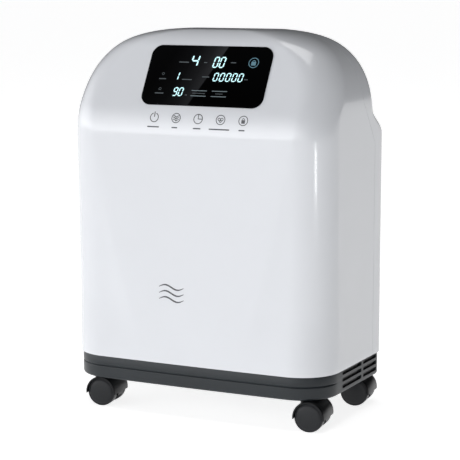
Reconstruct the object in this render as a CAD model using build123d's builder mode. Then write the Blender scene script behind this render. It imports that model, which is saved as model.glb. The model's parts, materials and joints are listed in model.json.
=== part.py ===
from build123d import *
import math
import os

os.makedirs("parts", exist_ok=True)

# All sizes in mm. Origin on the floor under the middle of the body, +Z up, front faces -Y.

# Outer body
BODY_W = 375.0
BODY_D = 212.0
BODY_TOP = 503.0
SHELL_Z0 = 71.0
WALL = 3.0
FRONT_Y = -BODY_D / 2
REAR_Y = BODY_D / 2
BOW = 3.0
FOOT_CORNER_R = 54.0
HEAD_CORNER_R = 46.0
CORNER_TOP = 358.0
REAR_CORNER_R = 26.0

# Leaning control panel, arched top and rear shoulder
BEND_Z = 367.0
BEND_R = 80.0
LEAN_DEG = 29.0
LEAN = math.radians(LEAN_DEG)
PANEL_Z0 = BEND_Z + BEND_R * math.sin(LEAN)
PANEL_Y0 = FRONT_Y + BEND_R * (1 - math.cos(LEAN))
ARCH_Z = 395.0
ARCH_RISE = 2.4
ARCH_FALL = 4.0
FRONT_EDGE_R = 22.0
REAR_EDGE_R = 17.0
SHOULDER_Z = 366.0
SHOULDER_H = 34.0
SHOULDER_IN = 34.0
BACK_LEAN = math.radians(10)
LOW_LEVELS = [358, 364, 369, 374, 380, 386, 392, 398, 404, 411, 418]
TOP_LEVELS = [426, 435, 445, 455, 464, 472, 479, 485, 490, 494, 497.5, 500, 502]

# Housing split and turned-in lower flange
SEAM = 0.2
SPLIT = [(61.0, -10.0), (61.0, 355.0), (22.0, 410.0), (8.0, 515.0)]
FLANGE_T = 3.0
FLANGE_IN = 10.0

# Display window and touch icons, in panel coordinates (x across, v up the slope)
WINDOW_W = 174.0
WINDOW_H = 85.4
WINDOW_X = 9.6
WINDOW_V = 44.6
WINDOW_R = 14.0
WINDOW_LEDGE = 6.0
LENS_T = 2.0
LENS_GAP = 0.3
SEAT_T = 1.2
DIGIT_T = 0.4
STROKE = 1.5
ICON_D = 13.2
ICON_LINE = 1.0
ICON_T = 0.3
ICON_X0 = -51.6
ICON_STEP = 31.7
ICON_COUNT = 5
ICON_DROP = 14.0
ICON_SINK = 0.75
BOARD_T = 1.6

# Base tray
BASE_Z0 = 40.5
BASE_TOP = 70.8
BASE_INSET = 2.5
BASE_WALL = 3.0
BASE_FLOOR = 3.5
BASE_EDGE = 3.0
GROOVE_Z = 57.2
GROOVE_H = 1.4
GROOVE_D = 1.0
GROOVE_END_Y = -62.0
SLOT_H = 5.0
SLOT_PITCH = 8.8
SLOT_Z0 = 49.0
SLOT_ROWS = 3
SLOT_COLUMNS = [(-35.0, 29.0), (35.0, 81.0)]
SCREEN_T = 1.2
SCREEN_YS = (-39.0, 83.0)

# Casters: 38 mm hooded twin-wheel type
STEM_X = 152.0
STEM_Y = 75.0
STEM_R = 4.0
STEM_Z0 = 18.0
STEM_TOP = 56.0
SOCKET_R = 11.0
SOCKET_TOP = 57.0
TRAIL = 9.0
CASTER_TURN = 7.0
WHEEL_R = 19.0
WHEEL_IN = 8.2
WHEEL_OUT = 22.4
DISC_R = 16.8
DOME_H = 1.4
DOME_R = (DISC_R**2 + DOME_H**2) / (2 * DOME_H)
AXLE_R = 3.0
RUN_GAP = 0.05
HOOD_IN = 19.6
HOOD_OUT = 21.1
HOOD_HALF = 23.0
WEB_HALF = 7.6
BOSS_R = 7.4
HOOD_TOP = 40.3

# Inner layout
PLATE_Z = 55.0
PLATE_T = 2.0
DECK_Z = 238.0
DECK_T = 2.5
PUMP_X = -12.0
MOTOR_Z = 120.0
MOTOR_R = 42.0
MOTOR_L = 92.0
MOUNT_X = 46.0
MOUNT_Y = 44.0
TOWER_X = 128.0
TOWER_YS = [-38.0, 32.0]
TOWER_R = 31.0
TOWER_Z0 = 65.0
TOWER_Z1 = 325.0
TOWER_WALL = 2.0
FAN_Z = 241.0
FAN_H = 32.0
FAN_W = 120.0
FAN_R = 56.0
FAN_BLADES = 7
DECK_TOP = DECK_Z + DECK_T
FOOT_Z = PLATE_Z + PLATE_T + 14
VALVE_Z = TOWER_Z1 + 16
TANK_X = -134.0
TANK_Y = -34.0
TANK_H = 120.0
BOARD_Z = 295.0
REG_X = 58.0
REG_Y = -70.0

# Rear face: filter opening, mains inlet, switch, exhaust slots, screws and outlet
FILTER_X = 0.0
FILTER_Z = 245.0
FILTER_W = 150.0
FILTER_H = 110.0
COVER_GAP = 0.5
COVER_T = 3.0
COVER_SLATS = 9
SLAT_PITCH = 11.0
INLET_X = -115.0
INLET_Z = 115.0
INLET_W = 27.0
INLET_H = 20.0
SWITCH_Z = 155.0
SWITCH_W = 22.0
SWITCH_H = 28.0
BEZEL_T = 1.5
PIVOT_R = 1.5
OUTLET_X = 95.0
OUTLET_Z = 420.0
OUTLET_R = 9.0
SPIGOT_R = 3.0
SCREW_X = 141.0
SCREW_ZS = [95.0, 325.0]
SCREW_R = 3.2
EXHAUST_ZS = [91.0, 101.0, 111.0, 121.0]
EXHAUST_X = 60.0
EXHAUST_W = 110.0
EXHAUST_H = 5.0

# Which way a shape grows from its location: up from the floor side, or in from the rear face
UPWARD = (Align.CENTER, Align.CENTER, Align.MIN)
INWARD = (Align.CENTER, Align.MAX, Align.CENTER)


def ease(t):
    t = min(max(t, 0.0), 1.0)
    return t * t * (3 - 2 * t)


def pulled_in(z, radius):
    t = max(z - (BODY_TOP - radius), 0.0) / radius
    return radius * (1 - math.sqrt(max(1 - t * t, 0.0)))


def front_y(z):
    if z <= BEND_Z:
        return FRONT_Y
    if z <= PANEL_Z0:
        return FRONT_Y + BEND_R - math.sqrt(BEND_R**2 - (z - BEND_Z) ** 2)
    return PANEL_Y0 + (z - PANEL_Z0) * math.tan(LEAN) + pulled_in(z, FRONT_EDGE_R)


def back_y(z):
    step = SHOULDER_IN * ease((z - SHOULDER_Z) / SHOULDER_H)
    slope = math.tan(BACK_LEAN) * max(z - SHOULDER_Z - SHOULDER_H, 0.0)
    return REAR_Y - step - slope - pulled_in(z, REAR_EDGE_R)


def front_corner(z):
    t = min(max((z - SHELL_Z0) / (CORNER_TOP - SHELL_Z0), 0.0), 1.0)
    return FOOT_CORNER_R + (HEAD_CORNER_R - FOOT_CORNER_R) * t


def half_width(z):
    t = min(max((z - ARCH_Z) / (BODY_TOP - ARCH_Z), 0.0), 1.0)
    return BODY_W / 2 * (1 - t**ARCH_RISE) ** (1 / ARCH_FALL)


def outline(z, inset, height):
    """Rounded plan section of the body at level z, shrunk by inset, drawn at the given height."""
    w = half_width(z) - inset
    f = front_y(z) + inset
    b = back_y(z) - inset
    depth = b - f
    bow = BOW * (w / (BODY_W / 2)) ** 2
    with BuildSketch(Plane.XY.offset(height)) as section:
        with BuildLine():
            ThreePointArc((-w, f + bow), (0, f), (w, f + bow))
            Polyline((w, f + bow), (w, b), (-w, b), (-w, f + bow))
        make_face()
        front = section.vertices().group_by(Axis.Y)[0]
        fillet(front, min(front_corner(z) - inset, depth * 0.55, w * 0.7))
        rear = section.vertices().group_by(Axis.Y)[-1]
        fillet(rear, min(REAR_CORNER_R - inset, depth * 0.3, w * 0.25))
    return section.sketch.face()


def body_solid(inset, z0):
    """The whole body as one solid, shrunk by inset and starting at z0."""
    squeeze = (BODY_TOP - inset - ARCH_Z) / (BODY_TOP - ARCH_Z)
    sections = [outline(z, inset, z) for z in [z0] + LOW_LEVELS]
    sections += [outline(z, inset, ARCH_Z + (z - ARCH_Z) * squeeze) for z in TOP_LEVELS]
    with BuildPart() as solid:
        loft(sections, ruled=True)
    return solid.part


def panel_plane(depth=0.0):
    """Plane of the leaning panel: x across, y up the slope, z outward."""
    out = Vector(0, -math.cos(LEAN), math.sin(LEAN))
    origin = Vector(0, PANEL_Y0, PANEL_Z0) - out * depth
    return Plane(origin=origin, x_dir=(1, 0, 0), z_dir=out)


def half_space(shift, far_y):
    """Block from the housing seam, moved by shift in Y, out to far_y."""
    seam = [(y + shift, z) for y, z in SPLIT]
    with BuildPart() as block:
        with BuildSketch(Plane.YZ.offset(-BODY_W)):
            with BuildLine():
                Polyline(*seam, (far_y, SPLIT[-1][1]), (far_y, SPLIT[0][1]), close=True)
            make_face()
        extrude(amount=2 * BODY_W)
    return block.part


def save(part, name):
    part.label = name
    export_step(part, f"parts/{name}.step")


SHELL_OUTER = body_solid(0.0, SHELL_Z0)
SHELL_INNER = body_solid(WALL, SHELL_Z0 + FLANGE_T)

OUTLET_FACE = back_y(OUTLET_Z)

with BuildPart() as front_housing:
    add(SHELL_OUTER)
    add(SHELL_INNER, mode=Mode.SUBTRACT)
    extrude(outline(SHELL_Z0, FLANGE_IN, SHELL_Z0 - 1), amount=FLANGE_T + 2, mode=Mode.SUBTRACT)
    add(half_space(-SEAM / 2, BODY_D), mode=Mode.SUBTRACT)
    with BuildSketch(panel_plane(LENS_T + SEAT_T)):
        with Locations((WINDOW_X, WINDOW_V)):
            RectangleRounded(WINDOW_W - 2 * WINDOW_LEDGE, WINDOW_H - 2 * WINDOW_LEDGE,
                             WINDOW_R - WINDOW_LEDGE)
    extrude(amount=10, both=True, mode=Mode.SUBTRACT)
    with BuildSketch(panel_plane(LENS_T)):
        with Locations((WINDOW_X, WINDOW_V)):
            RectangleRounded(WINDOW_W + 2 * LENS_GAP, WINDOW_H + 2 * LENS_GAP, WINDOW_R)
    extrude(amount=10, mode=Mode.SUBTRACT)
save(front_housing.part, "front_housing")

with BuildPart() as rear_housing:
    add(SHELL_OUTER)
    add(SHELL_INNER, mode=Mode.SUBTRACT)
    extrude(outline(SHELL_Z0, FLANGE_IN, SHELL_Z0 - 1), amount=FLANGE_T + 2, mode=Mode.SUBTRACT)
    add(half_space(SEAM / 2, -BODY_D), mode=Mode.SUBTRACT)
    with Locations((FILTER_X, REAR_Y, FILTER_Z)):
        Box(FILTER_W, 2 * WALL + 2, FILTER_H, mode=Mode.SUBTRACT)
    with Locations((INLET_X, REAR_Y, INLET_Z)):
        Box(INLET_W + 0.4, 2 * WALL + 2, INLET_H + 0.4, mode=Mode.SUBTRACT)
    with Locations((INLET_X, REAR_Y, SWITCH_Z)):
        Box(SWITCH_W + 0.4, 2 * WALL + 2, SWITCH_H + 0.4, mode=Mode.SUBTRACT)
    with Locations(*[(EXHAUST_X, REAR_Y, z) for z in EXHAUST_ZS]):
        Box(EXHAUST_W, 2 * WALL + 2, EXHAUST_H, mode=Mode.SUBTRACT)
    with Locations((OUTLET_X, OUTLET_FACE, OUTLET_Z)):
        Cylinder(OUTLET_R + 0.2, 30, rotation=(90, 0, 0), mode=Mode.SUBTRACT)
save(rear_housing.part, "rear_housing")

with BuildPart() as display_lens:
    with BuildSketch(panel_plane(LENS_T)):
        with Locations((WINDOW_X, WINDOW_V)):
            RectangleRounded(WINDOW_W, WINDOW_H, WINDOW_R - LENS_GAP)
    extrude(amount=LENS_T)
save(display_lens.part, "display_lens")

# Seven-segment digits: a at the top, clockwise to f, g in the middle
SEGMENTS = {"0": "abcdef", "1": "bc", "4": "bcfg", "9": "abcdfg"}
ROWS = [
    (20.0, 14.6, 8.0, [(-21.6, "4"), (9.6, "0"), (18.8, "0")]),
    (-1.6, 10.6, 4.8, [(-42.0, "1")] + [(13.8 + 8.8 * i, "0") for i in range(5)]),
    (-23.8, 10.8, 5.0, [(-39.6, "9"), (-31.4, "0")]),
]


def segment_boxes(text, x, v, height, width):
    half = height / 2
    wide = width / 2
    spots = {
        "a": (x, v + half, width - STROKE, STROKE),
        "b": (x + wide, v + half / 2, STROKE, half - STROKE),
        "c": (x + wide, v - half / 2, STROKE, half - STROKE),
        "d": (x, v - half, width - STROKE, STROKE),
        "e": (x - wide, v - half / 2, STROKE, half - STROKE),
        "f": (x - wide, v + half / 2, STROKE, half - STROKE),
        "g": (x, v, width - STROKE, STROKE),
    }
    return [spots[name] for name in SEGMENTS[text]]


with BuildPart() as display_digits:
    with BuildSketch(panel_plane(LENS_T + DIGIT_T + 0.1)):
        for v, height, width, digits in ROWS:
            for x, text in digits:
                for cx, cy, w, h in segment_boxes(text, x, v, height, width):
                    with Locations((WINDOW_X + cx, WINDOW_V + cy)):
                        Rectangle(w, h)
    extrude(amount=DIGIT_T)
save(display_digits.part, "display_digits")

with BuildPart() as display_board:
    with BuildSketch(panel_plane(LENS_T + DIGIT_T + 0.1)):
        with Locations((WINDOW_X, WINDOW_V)):
            RectangleRounded(WINDOW_W - 13, WINDOW_H - 13, WINDOW_R - 7)
    extrude(amount=-BOARD_T)
    with BuildSketch(panel_plane(LENS_T + DIGIT_T + 0.1 + BOARD_T)):
        with Locations((WINDOW_X - 40, WINDOW_V), (WINDOW_X + 45, WINDOW_V + 8)):
            Rectangle(22, 16)
    extrude(amount=-4)
save(display_board.part, "display_board")

# The five touch symbols sit as thin printed rings on the curved strip under the window
ICON_TILT = math.asin((PANEL_Z0 - ICON_DROP - BEND_Z) / BEND_R)
ICON_OUT = Vector(0, -math.cos(ICON_TILT), math.sin(ICON_TILT))
ICON_Y = FRONT_Y + BEND_R * (1 - math.cos(ICON_TILT))
ICON_Z = BEND_Z + BEND_R * math.sin(ICON_TILT)
icon_plane = Plane(origin=(0, ICON_Y, ICON_Z), x_dir=(1, 0, 0), z_dir=ICON_OUT).offset(ICON_SINK)
with BuildPart() as touch_icons:
    with BuildSketch(icon_plane):
        with Locations(*[(ICON_X0 + i * ICON_STEP, 0) for i in range(ICON_COUNT)]):
            Circle(ICON_D / 2)
            Circle(ICON_D / 2 - ICON_LINE, mode=Mode.SUBTRACT)
            Rectangle(ICON_LINE, ICON_D * 0.4)
    extrude(amount=ICON_T)
save(touch_icons.part, "touch_icons")

with BuildPart() as touch_board:
    with BuildSketch(icon_plane.offset(-9.0)):
        with Locations((ICON_X0 + ICON_STEP * 2, 0)):
            Rectangle(156, 16)
    extrude(amount=BOARD_T)
save(touch_board.part, "touch_board")


def groove_ring():
    """Shallow line around the front of the tray, ending on the straight sides."""
    with BuildPart() as ring:
        extrude(outline(SHELL_Z0, 0.0, GROOVE_Z), amount=GROOVE_H)
        extrude(outline(SHELL_Z0, BASE_INSET + GROOVE_D, GROOVE_Z), amount=GROOVE_H,
                mode=Mode.SUBTRACT)
        with Locations((0, GROOVE_END_Y, GROOVE_Z)):
            Box(BODY_W + 20, 300, 10, mode=Mode.SUBTRACT,
                align=(Align.CENTER, Align.MIN, Align.CENTER))
    return ring.part


with BuildPart() as base_tray:
    extrude(outline(SHELL_Z0, BASE_INSET, BASE_Z0), amount=BASE_TOP - BASE_Z0)
    chamfer(base_tray.faces().sort_by(Axis.Z)[0].edges(), BASE_EDGE)
    extrude(outline(SHELL_Z0, BASE_INSET + BASE_WALL, BASE_Z0 + BASE_FLOOR),
            amount=BASE_TOP, mode=Mode.SUBTRACT)
    with Locations(*[(x, y, BASE_Z0) for x in (-STEM_X, STEM_X) for y in (-STEM_Y, STEM_Y)]):
        Cylinder(SOCKET_R, SOCKET_TOP - BASE_Z0, align=UPWARD)
        Cylinder(STEM_R, 60, mode=Mode.SUBTRACT)
    add(groove_ring(), mode=Mode.SUBTRACT)
    for y0, y1 in SLOT_COLUMNS:
        for row in range(SLOT_ROWS):
            with Locations((0, (y0 + y1) / 2, SLOT_Z0 + row * SLOT_PITCH)):
                Box(BODY_W, y1 - y0, SLOT_H, mode=Mode.SUBTRACT)
save(base_tray.part, "base_tray")

with BuildPart() as louvre_screens:
    screen_x = BODY_W / 2 - BASE_INSET - BASE_WALL - SCREEN_T
    screen_z = SLOT_Z0 + SLOT_PITCH * (SLOT_ROWS - 1) / 2
    with Locations(*[(side * screen_x, sum(SCREEN_YS) / 2, screen_z) for side in (-1, 1)]):
        Box(SCREEN_T, SCREEN_YS[1] - SCREEN_YS[0], SLOT_PITCH * (SLOT_ROWS - 1) + SLOT_H + 1)
save(louvre_screens.part, "louvre_screens")

with BuildPart() as chassis_plate:
    with BuildSketch(Plane.XY.offset(PLATE_Z)):
        Rectangle(330, 124)
        Rectangle(260, 176)
        with Locations(*[(x, y) for x in (-150, 150) for y in (-50, 50)]):
            Circle(2.2, mode=Mode.SUBTRACT)
    extrude(amount=PLATE_T)
    with Locations(*[(x, y, BASE_Z0 + BASE_FLOOR) for x in (-110, 110) for y in (-70, 70)]):
        Cylinder(6, PLATE_Z - BASE_Z0 - BASE_FLOOR,
                 align=UPWARD)
save(chassis_plate.part, "chassis_plate")

with BuildPart() as compressor_mounts:
    with Locations(*[(PUMP_X + x, y, PLATE_Z + PLATE_T)
                     for x in (-MOUNT_X, MOUNT_X) for y in (-MOUNT_Y, MOUNT_Y)]):
        Cylinder(10, 14, align=UPWARD)
    with Locations(*[(PUMP_X + x, y, PLATE_Z + PLATE_T + 7)
                     for x in (-MOUNT_X, MOUNT_X) for y in (-MOUNT_Y, MOUNT_Y)]):
        Torus(10, 3, mode=Mode.SUBTRACT)
save(compressor_mounts.part, "compressor_mounts")

with BuildPart() as compressor_motor:
    with Locations((PUMP_X, 0, FOOT_Z)):
        Box(116, 108, 4, align=UPWARD)
        Box(70, 60, MOTOR_Z - FOOT_Z, align=UPWARD)
    with BuildSketch(Plane.YZ.offset(PUMP_X - MOTOR_L / 2)):
        with Locations((0, MOTOR_Z)):
            Circle(MOTOR_R)
    extrude(amount=MOTOR_L)
    with BuildSketch(Plane.YZ.offset(PUMP_X - MOTOR_L / 2 + 12)):
        with Locations((0, MOTOR_Z)):
            with PolarLocations(MOTOR_R, 14):
                Rectangle(8, 3)
    extrude(amount=MOTOR_L - 24)
save(compressor_motor.part, "compressor_motor")

for side, name in ((-1, "compressor_head_left"), (1, "compressor_head_right")):
    head_x = PUMP_X + side * (MOTOR_L / 2 + 15)
    with BuildPart() as compressor_head:
        with Locations((head_x, 0, FOOT_Z + 4)):
            Box(30, 72, 88, align=UPWARD)
        with Locations(*[(head_x, 0, FOOT_Z + 96 + i * 5) for i in range(4)]):
            Box(48, 66, 2.5, align=UPWARD)
        with Locations((head_x, 0, FOOT_Z + 92)):
            Box(40, 56, 24, align=UPWARD)
        with Locations((head_x, -20, FOOT_Z + 116)):
            Cylinder(5, 8, align=UPWARD)
    save(compressor_head.part, name)

with BuildPart() as heat_exchanger:
    with BuildLine() as coil_path:
        Helix(pitch=11, height=22, radius=46, center=(PUMP_X, 0, 203))
    coil_start = coil_path.line @ 0
    with BuildSketch(Plane(origin=coil_start, z_dir=coil_path.line % 0)):
        Circle(4)
    sweep(path=coil_path.line, is_frenet=True)
save(heat_exchanger.part, "heat_exchanger")

with BuildPart() as inner_frame:
    with BuildSketch(Plane.XY.offset(DECK_Z)):
        with Locations((-37.5, 0)):
            Rectangle(225, 168)
        with Locations((PUMP_X, 0)):
            Circle(FAN_R, mode=Mode.SUBTRACT)
    extrude(amount=DECK_T)
    with Locations(*[(x, y, PLATE_Z + PLATE_T) for x in (-104, 68) for y in (-78, 78)]):
        Box(10, 10, DECK_Z - PLATE_Z - PLATE_T, align=UPWARD)
save(inner_frame.part, "inner_frame")

with BuildPart() as fan_frame:
    with BuildSketch(Plane.XY.offset(FAN_Z - 0.5)):
        with Locations((PUMP_X, 0)):
            RectangleRounded(FAN_W, FAN_W, 6)
            Circle(FAN_R + 1, mode=Mode.SUBTRACT)
    extrude(amount=FAN_H)
    with BuildSketch(Plane.XY.offset(FAN_Z + FAN_H - 3.5)):
        with Locations((PUMP_X, 0)):
            Circle(21)
            with PolarLocations(38, 4, start_angle=45):
                Rectangle(42, 5)
    extrude(amount=3)
    with Locations((PUMP_X, 0, FAN_Z + 4)):
        Cylinder(2.5, FAN_H - 6, align=UPWARD)
save(fan_frame.part, "fan_frame")

with BuildPart() as fan_rotor:
    with Locations((PUMP_X, 0, FAN_Z + 3)):
        Cylinder(20, 22, align=UPWARD)
    for blade in range(FAN_BLADES):
        turn = math.tau / FAN_BLADES * blade
        out = Vector(math.cos(turn), math.sin(turn), 0)
        chord = Vector(-out.Y * 0.8, out.X * 0.8, 0.6)
        start = Vector(PUMP_X, 0, FAN_Z + 14) + out * 18
        with BuildSketch(Plane(origin=start, x_dir=chord, z_dir=out)):
            Rectangle(26, 1.6)
        extrude(amount=FAN_R - 19.5)
    with Locations((PUMP_X, 0, FAN_Z)):
        Cylinder(2.5 + RUN_GAP, 60, mode=Mode.SUBTRACT)
save(fan_rotor.part, "fan_rotor")

with BuildPart() as sieve_towers:
    for y in TOWER_YS:
        with Locations((TOWER_X, y, TOWER_Z0)):
            Cylinder(TOWER_R, TOWER_Z1 - TOWER_Z0,
                     align=UPWARD)
            Cylinder(TOWER_R - TOWER_WALL, TOWER_Z1 - TOWER_Z0, mode=Mode.SUBTRACT,
                     align=UPWARD)
save(sieve_towers.part, "sieve_towers")

with BuildPart() as zeolite_beds:
    with Locations(*[(TOWER_X, y, TOWER_Z0 + 1) for y in TOWER_YS]):
        Cylinder(TOWER_R - TOWER_WALL - 0.2, TOWER_Z1 - TOWER_Z0 - 2,
                 align=UPWARD)
save(zeolite_beds.part, "zeolite_beds")

with BuildPart() as tower_caps:
    for y in TOWER_YS:
        with Locations((TOWER_X, y, PLATE_Z + PLATE_T)):
            Cylinder(TOWER_R + 2, TOWER_Z0 - PLATE_Z - PLATE_T,
                     align=UPWARD)
        with Locations((TOWER_X, y, TOWER_Z1)):
            Cylinder(TOWER_R + 2, 9, align=UPWARD)
            Cylinder(5, 16, align=UPWARD)
save(tower_caps.part, "tower_caps")

with BuildPart() as tower_bracket:
    with BuildSketch(Plane.XY.offset(191)):
        with Locations((TOWER_X - 5, -3)):
            Rectangle(80, 150)
        with Locations(*[(TOWER_X, y) for y in TOWER_YS]):
            Circle(TOWER_R, mode=Mode.SUBTRACT)
    extrude(amount=5)
save(tower_bracket.part, "tower_bracket")

with BuildPart() as valve_block:
    with Locations((TOWER_X, -3, VALVE_Z)):
        Box(34, 96, 22, align=UPWARD)
    with Locations((TOWER_X - 17, -3, VALVE_Z + 11)):
        Cylinder(4, 14, rotation=(0, 90, 0))
save(valve_block.part, "valve_block")

with BuildPart() as solenoid_coils:
    with Locations(*[(TOWER_X, -3 + y, VALVE_Z + 22) for y in (-36, -12, 12, 36)]):
        Cylinder(9, 26, align=UPWARD)
        Box(22, 15, 18, align=UPWARD)
save(solenoid_coils.part, "solenoid_coils")

with BuildPart() as product_tank:
    with Locations((TANK_X, TANK_Y, PLATE_Z + PLATE_T)):
        Cylinder(27, TANK_H, align=UPWARD)
    fillet(product_tank.faces().sort_by(Axis.Z)[-1].edges(), 10)
    with Locations((TANK_X, TANK_Y, PLATE_Z + PLATE_T + TANK_H - 2)):
        Cylinder(5, 14, align=UPWARD)
save(product_tank.part, "product_tank")

with BuildPart() as exhaust_muffler:
    with Locations((TANK_X, 30, PLATE_Z + PLATE_T)):
        Cylinder(22, 90, align=UPWARD)
    with Locations((TANK_X, 30, PLATE_Z + PLATE_T + 90)):
        Cylinder(6, 12, align=UPWARD)
save(exhaust_muffler.part, "exhaust_muffler")

with BuildPart() as power_supply:
    with Locations((-112, 40, DECK_TOP)):
        Box(70, 74, 4, align=UPWARD)
        Box(54, 44, 50, align=UPWARD)
        Box(36, 66, 38, align=UPWARD)
save(power_supply.part, "power_supply")

with BuildPart() as start_capacitor:
    with Locations((-118, -40, DECK_TOP)):
        Cylinder(18, 70, align=UPWARD)
    fillet(start_capacitor.faces().sort_by(Axis.Z)[-1].edges(), 3)
save(start_capacitor.part, "start_capacitor")

with BuildPart() as control_board:
    with Locations((PUMP_X, -20, BOARD_Z)):
        Box(130, 90, 1.6, align=UPWARD)
    with Locations((PUMP_X - 30, -30, BOARD_Z + 1.6), (PUMP_X + 25, 0, BOARD_Z + 1.6)):
        Box(20, 20, 5, align=UPWARD)
    with Locations(*[(PUMP_X - 55 + 14 * i, -55, BOARD_Z + 1.6) for i in range(8)]):
        Cylinder(5, 14, align=UPWARD)
    with Locations(*[(PUMP_X + x, -20 + y, BOARD_Z) for x in (-54, 54) for y in (-36, 36)]):
        Cylinder(3.5, BOARD_Z - FAN_Z - FAN_H + 0.5, align=(Align.CENTER, Align.CENTER, Align.MAX))
save(control_board.part, "control_board")

with BuildPart() as oxygen_sensor:
    with Locations((PUMP_X + 40, 40, BOARD_Z - 22)):
        Box(36, 30, 24, align=UPWARD)
        Cylinder(4, 36, align=UPWARD)
save(oxygen_sensor.part, "oxygen_sensor")

with BuildPart() as pressure_regulator:
    with Locations((REG_X, REG_Y, DECK_TOP)):
        Cylinder(14, 34, align=UPWARD)
        Cylinder(9, 48, align=UPWARD)
    with Locations((REG_X, REG_Y, DECK_TOP + 20)):
        Cylinder(4, 40, rotation=(0, 90, 0))
save(pressure_regulator.part, "pressure_regulator")

with BuildPart() as flow_valve:
    with Locations((PUMP_X - 40, 40, FAN_Z + FAN_H - 0.5)):
        Box(34, 28, 26, align=UPWARD)
        Cylinder(8, 40, align=UPWARD)
save(flow_valve.part, "flow_valve")

# Removable rear filter cover, its foam and the fine filter behind it
COVER_W = FILTER_W - 2 * COVER_GAP
COVER_H = FILTER_H - 2 * COVER_GAP
with BuildPart() as filter_cover:
    with Locations((FILTER_X, REAR_Y, FILTER_Z)):
        Box(COVER_W, COVER_T, COVER_H, align=INWARD)
    with Locations(*[(FILTER_X, REAR_Y, FILTER_Z + SLAT_PITCH * (row - (COVER_SLATS - 1) / 2))
                     for row in range(COVER_SLATS)]):
        Box(COVER_W - 16, 4 * COVER_T, 5, mode=Mode.SUBTRACT)
    with Locations((FILTER_X, REAR_Y, FILTER_Z)):
        Box(6, COVER_T, COVER_H, align=INWARD)
save(filter_cover.part, "filter_cover")

with BuildPart() as filter_tray:
    with Locations((FILTER_X, REAR_Y - WALL - 0.3, FILTER_Z)):
        Box(FILTER_W + 12, 16, FILTER_H + 12, align=INWARD)
        Box(FILTER_W, 13, FILTER_H, mode=Mode.SUBTRACT,
            align=INWARD)
        Cylinder(22, 60, rotation=(90, 0, 0), mode=Mode.SUBTRACT)
save(filter_tray.part, "filter_tray")

with BuildPart() as filter_foam:
    with Locations((FILTER_X, REAR_Y - WALL - 1.0, FILTER_Z)):
        Box(FILTER_W - 2, 10, FILTER_H - 2, align=INWARD)
save(filter_foam.part, "filter_foam")

with BuildPart() as power_inlet:
    with Locations((INLET_X, REAR_Y + BEZEL_T, INLET_Z)):
        Box(INLET_W + 6, BEZEL_T, INLET_H + 6, align=INWARD)
    with Locations((INLET_X, REAR_Y, INLET_Z)):
        Box(INLET_W, 20, INLET_H, align=INWARD)
    with Locations((INLET_X, REAR_Y + BEZEL_T, INLET_Z)):
        Box(INLET_W - 3, 16, INLET_H - 4, mode=Mode.SUBTRACT,
            align=INWARD)
save(power_inlet.part, "power_inlet")

with BuildPart() as inlet_pins:
    with Locations((INLET_X - 7, REAR_Y - 2, INLET_Z - 2), (INLET_X, REAR_Y - 2, INLET_Z + 2),
                   (INLET_X + 7, REAR_Y - 2, INLET_Z - 2)):
        Box(2, 12.5, 4, align=INWARD)
save(inlet_pins.part, "inlet_pins")

with BuildPart() as switch_frame:
    with Locations((INLET_X, REAR_Y + BEZEL_T, SWITCH_Z)):
        Box(SWITCH_W + 5, BEZEL_T, SWITCH_H + 5, align=INWARD)
    with Locations((INLET_X, REAR_Y, SWITCH_Z)):
        Box(SWITCH_W, 16, SWITCH_H, align=INWARD)
    with Locations((INLET_X, REAR_Y + BEZEL_T, SWITCH_Z)):
        Box(SWITCH_W - 4, 14, SWITCH_H - 4, mode=Mode.SUBTRACT,
            align=INWARD)
    with Locations((INLET_X, REAR_Y - 5, SWITCH_Z)):
        Cylinder(PIVOT_R, SWITCH_W, rotation=(0, 90, 0))
save(switch_frame.part, "switch_frame")

with BuildPart() as power_rocker:
    with BuildSketch(Plane.YZ.offset(INLET_X - SWITCH_W / 2 + 2.4)):
        with BuildLine():
            Polyline((REAR_Y - 8, SWITCH_Z - 5), (REAR_Y - 1, SWITCH_Z - 11),
                     (REAR_Y + 2.2, SWITCH_Z - 10.6), (REAR_Y + 0.8, SWITCH_Z),
                     (REAR_Y + 2.2, SWITCH_Z + 10.6), (REAR_Y - 1, SWITCH_Z + 11),
                     (REAR_Y - 8, SWITCH_Z + 5), close=True)
        make_face()
        with Locations((REAR_Y - 5, SWITCH_Z)):
            Circle(PIVOT_R + RUN_GAP, mode=Mode.SUBTRACT)
    extrude(amount=SWITCH_W - 4.8)
save(power_rocker.part, "power_rocker")

with BuildPart() as oxygen_outlet:
    with Locations((OUTLET_X, OUTLET_FACE + 3.5, OUTLET_Z)):
        Cylinder(OUTLET_R + 4, 2, rotation=(90, 0, 0))
    with Locations((OUTLET_X, OUTLET_FACE - 3, OUTLET_Z)):
        Cylinder(OUTLET_R, 13, rotation=(90, 0, 0))
    with Locations((OUTLET_X, OUTLET_FACE + 13, OUTLET_Z)):
        Cylinder(SPIGOT_R, 20, rotation=(90, 0, 0))
save(oxygen_outlet.part, "oxygen_outlet")

# Screw heads on the rear face
with BuildPart() as rear_screws:
    with Locations(*[(x, REAR_Y + 0.8, z) for x in (-SCREW_X, SCREW_X) for z in SCREW_ZS]):
        Cylinder(SCREW_R, 0.8, rotation=(90, 0, 0))
        Box(4.4, 2, 0.9, mode=Mode.SUBTRACT)
        Box(0.9, 2, 4.4, mode=Mode.SUBTRACT)
save(rear_screws.part, "rear_screws")


def tube(points, name):
    """Hose along a spline that leaves upwards and arrives along +X."""
    with BuildPart() as hose:
        with BuildLine() as path:
            Spline(*points, tangents=((0, 0, 1), (1, 0, 0)))
        with BuildSketch(Plane(origin=path.line @ 0, z_dir=path.line % 0)):
            Circle(4.0)
            Circle(2.4, mode=Mode.SUBTRACT)
        sweep(path=path.line)
    save(hose.part, name)


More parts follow.
